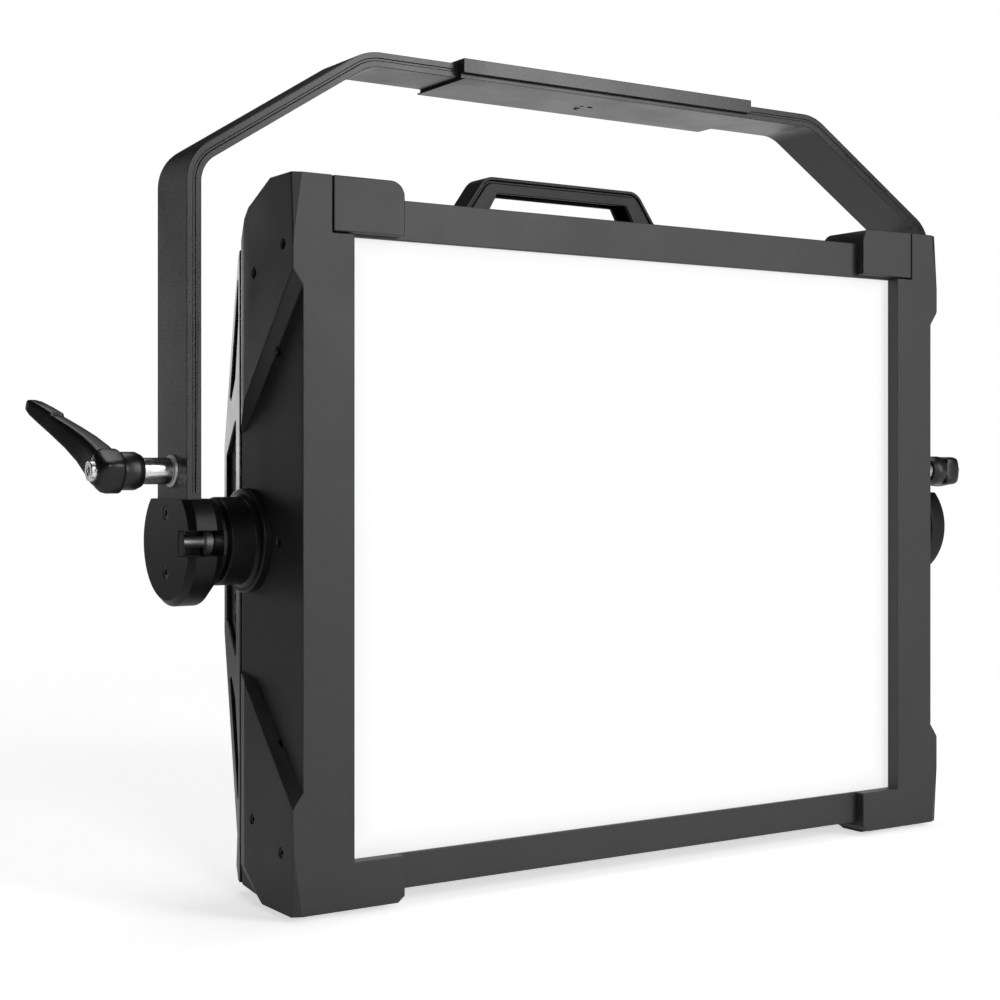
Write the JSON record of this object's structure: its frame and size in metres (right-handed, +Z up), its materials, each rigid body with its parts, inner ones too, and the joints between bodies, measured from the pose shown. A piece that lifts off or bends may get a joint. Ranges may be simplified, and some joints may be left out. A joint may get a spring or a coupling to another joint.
{
  "type": "led panel light",
  "caption": "Flat studio LED panel in a cast frame with raised corners, tilting in a bent flat-bar yoke with clamp levers, top handle and rear controls.",
  "frame": {"origin": "on the floor under the tilt axis, on the plane of symmetry", "axes": "+X to the right seen from the lit front, +Y from the lit front to the rear, +Z up"},
  "size_m": [0.81, 0.1655, 0.5695],
  "materials": {
    "cast_black": "fine black powder coat on a casting, matte",
    "bar_black": "fine black powder coat, matte",
    "cover_black": "fine black powder coat, satin",
    "rubber_black": "moulded rubber",
    "screw_black": "black oxide",
    "diffuser_opal": "opal acrylic, lit",
    "reflector_white": "white reflector",
    "led_board_white": "white solder mask on aluminium",
    "led_yellow": "phosphor under silicone",
    "sink_alu": "extruded",
    "vent_black": "dark screen",
    "fan_black": "moulded",
    "guard_steel": "black plated wire",
    "supply_metal": "folded sheet",
    "board_green": "solder mask",
    "panel_black": "fine texture",
    "display_dark": "clear over dark display",
    "button_grey": "soft moulded",
    "inlet_blue": "moulded",
    "outlet_grey": "moulded",
    "socket_black": "moulded",
    "port_metal": "plated shell",
    "handle_black": "black powder coat, satin",
    "eye_steel": "zinc plated",
    "pivot_black": "black anodised, satin",
    "bolt_steel": "plain bright steel",
    "yoke_black": "black powder coat, satin",
    "lever_black": "semi-gloss coated lever",
    "lever_chrome": "polished"
  },
  "bodies": {
    "head": {"left_cheek": "cast_black", "right_cheek": "cast_black", "top_bar": "bar_black", "bottom_bar": "bar_black", "left_corner_cap": "bar_black", "right_corner_cap": "bar_black", "rear_cover": "cover_black", "rear_spine": "cover_black", "front_feet": "rubber_black", "rear_feet": "rubber_black", "diffuser_gasket": "rubber_black", "cheek_screws": "screw_black", "cover_screws": "screw_black", "handle_screws": "screw_black", "diffuser_panel": "diffuser_opal", "light_box": "reflector_white", "led_board": "led_board_white", "led_chips": "led_yellow", "heat_sink": "sink_alu", "left_vent_screen": "vent_black", "right_vent_screen": "vent_black", "fan_frames": "fan_black", "fan_guards": "guard_steel", "power_supply": "supply_metal", "driver_board": "board_green", "control_board": "board_green", "control_panel": "panel_black", "connector_plate": "panel_black", "display_window": "display_dark", "power_inlet": "inlet_blue", "power_outlet": "outlet_grey", "data_sockets": "socket_black", "fuse_cap": "socket_black", "network_port": "port_metal", "top_handle": "handle_black", "safety_eye": "eye_steel", "left_pivot_flange": "pivot_black", "right_pivot_flange": "pivot_black", "pivot_bolts": "bolt_steel"},
    "yoke": {"yoke_bar": "yoke_black", "left_knuckle": "pivot_black", "right_knuckle": "pivot_black", "friction_washers": "screw_black", "arm_screws": "screw_black", "mount_plate": "yoke_black", "mount_screws": "bolt_steel", "clamp_washers": "bolt_steel"},
    "left_clamp": {"left_clamp_insert": "lever_chrome"},
    "right_clamp": {"right_clamp_insert": "lever_chrome"},
    "left_lever": {"left_clamp_lever": "lever_black", "left_clamp_screw": "lever_chrome"},
    "right_lever": {"right_clamp_lever": "lever_black", "right_clamp_screw": "lever_chrome"},
    "left_fan": {"left_fan_rotor": "fan_black"},
    "right_fan": {"right_fan_rotor": "fan_black"},
    "menu_key": {"menu_button": "button_grey"},
    "up_key": {"up_button": "button_grey"},
    "down_key": {"down_button": "button_grey"},
    "enter_key": {"enter_button": "button_grey"},
    "knob": {"encoder_knob": "button_grey"}
  },
  "joints": [
    {"name": "yoke_tilt", "type": "hinge", "parent": "head", "child": "yoke", "pos_m": [0, 0, 0.23725], "axis": [1, 0, 0], "range_deg": [-90, 90]},
    {"name": "left_clamp_turn", "type": "hinge", "parent": "yoke", "child": "left_clamp", "pos_m": [-0.3337, 0, 0.28325], "axis": [-1, 0, 0], "range_deg": [0, 180]},
    {"name": "right_clamp_turn", "type": "hinge", "parent": "yoke", "child": "right_clamp", "pos_m": [0.3337, 0, 0.28325], "axis": [1, 0, 0], "range_deg": [0, 180]},
    {"name": "left_lever_lift", "type": "slide", "parent": "left_clamp", "child": "left_lever", "axis": [-1, 0, 0], "range_m": [0, 0.004], "stiffness_N_per_m": 1500},
    {"name": "right_lever_lift", "type": "slide", "parent": "right_clamp", "child": "right_lever", "axis": [1, 0, 0], "range_m": [0, 0.004], "stiffness_N_per_m": 1500},
    {"name": "left_fan_spin", "type": "hinge", "parent": "head", "child": "left_fan", "pos_m": [-0.198, 0.05, 0.23725], "axis": [0, 1, 0], "continuous": true},
    {"name": "right_fan_spin", "type": "hinge", "parent": "head", "child": "right_fan", "pos_m": [0.198, 0.05, 0.23725], "axis": [0, 1, 0], "continuous": true},
    {"name": "menu_press", "type": "slide", "parent": "head", "child": "menu_key", "axis": [0, -1, 0], "range_m": [0, 0.001], "stiffness_N_per_m": 1500},
    {"name": "up_press", "type": "slide", "parent": "head", "child": "up_key", "axis": [0, -1, 0], "range_m": [0, 0.001], "stiffness_N_per_m": 1500},
    {"name": "down_press", "type": "slide", "parent": "head", "child": "down_key", "axis": [0, -1, 0], "range_m": [0, 0.001], "stiffness_N_per_m": 1500},
    {"name": "enter_press", "type": "slide", "parent": "head", "child": "enter_key", "axis": [0, -1, 0], "range_m": [0, 0.001], "stiffness_N_per_m": 1500},
    {"name": "knob_turn", "type": "hinge", "parent": "head", "child": "knob", "pos_m": [0.096, 0.066, 0.268], "axis": [0, 1, 0], "continuous": true}
  ]
}
